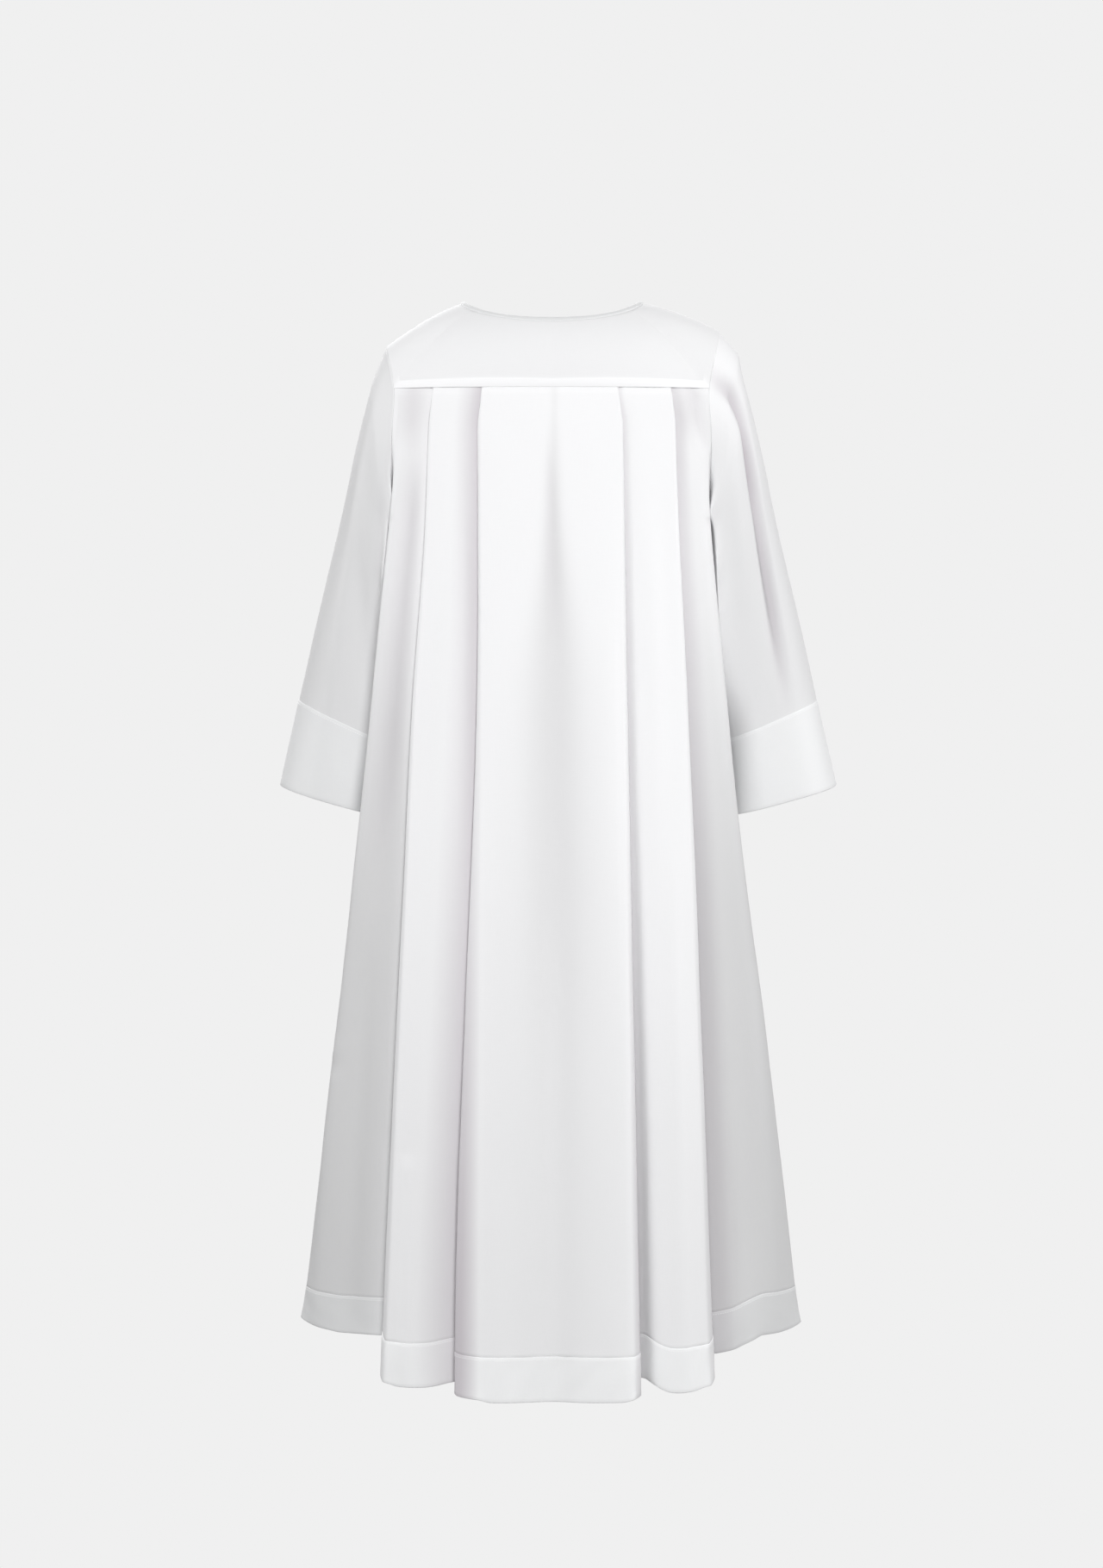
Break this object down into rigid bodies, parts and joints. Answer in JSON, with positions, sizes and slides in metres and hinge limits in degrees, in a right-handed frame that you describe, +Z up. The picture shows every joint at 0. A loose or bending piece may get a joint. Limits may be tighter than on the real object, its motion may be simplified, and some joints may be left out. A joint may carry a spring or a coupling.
{
  "type": "rochet",
  "caption": "Long white rochet in its worn shape: yoke, knife-pleated body, wide cuffed sleeves and deep hem, hollow and open at neck, cuffs and hem.",
  "frame": {"origin": "middle of the neck opening, level with the top of the shoulders, where the wearer's shoulders hold the garment up", "axes": "+Z up, the front faces -Y, the wearer's left is +X"},
  "size_m": [0.643, 0.4634, 1.2093],
  "materials": {
    "white_cloth": "matt, fine plain weave",
    "white_double_cloth": "matt, fine plain weave, two layers"
  },
  "bodies": {
    "root": {"yoke": "white_cloth", "neck_binding": "white_double_cloth", "back_panel": "white_cloth", "front_panel": "white_cloth", "hem_back": "white_double_cloth", "hem_front": "white_double_cloth", "sleeve_left": "white_cloth", "sleeve_right": "white_cloth", "cuff_left": "white_double_cloth", "cuff_right": "white_double_cloth"}
  },
  "joints": []
}
